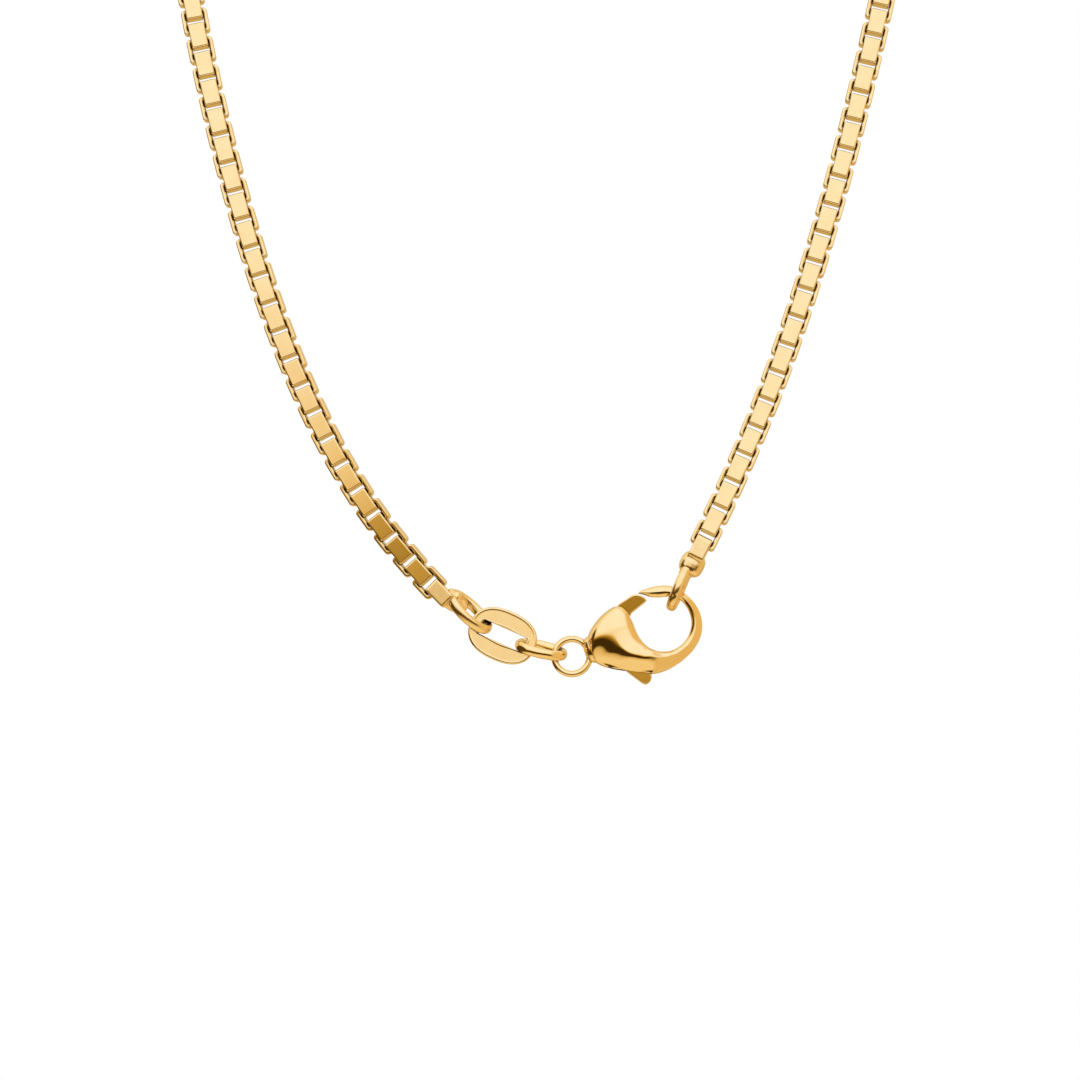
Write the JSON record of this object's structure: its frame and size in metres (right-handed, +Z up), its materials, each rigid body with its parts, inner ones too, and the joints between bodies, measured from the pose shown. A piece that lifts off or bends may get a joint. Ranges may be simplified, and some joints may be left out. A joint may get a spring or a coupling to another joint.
{
  "type": "box chain necklace with lobster clasp",
  "caption": "Polished yellow gold box chain necklace, fastened as one hanging loop by a lobster clasp with a sprung lever.",
  "frame": {"origin": "inner side of the loop's top, where the chain hangs on a peg or lies on the back of a neck", "axes": "+Z up, from the clasp to the top of the loop; +X to the right seen from the front; +Y away from the front, across the flat loop"},
  "size_m": [0.0913, 0.0028, 0.1911],
  "materials": {
    "gold": "polished yellow gold"
  },
  "bodies": {
    "root": {"left_end": "gold", "chain_left": "gold", "chain_back": "gold", "chain_right": "gold", "right_end": "gold", "oval_link": "gold", "wire_link": "gold", "clasp_body": "gold", "clasp_pin": "gold"},
    "lever": {"clasp_lever": "gold"}
  },
  "joints": [
    {"name": "lever_hinge", "type": "hinge", "parent": "root", "child": "lever", "pos_m": [0.00517, 0, -0.18571], "axis": [0, 1, 0], "range_deg": [0, 20], "stiffness_Nm_per_rad": 0.004, "springref_deg": -20.05}
  ]
}
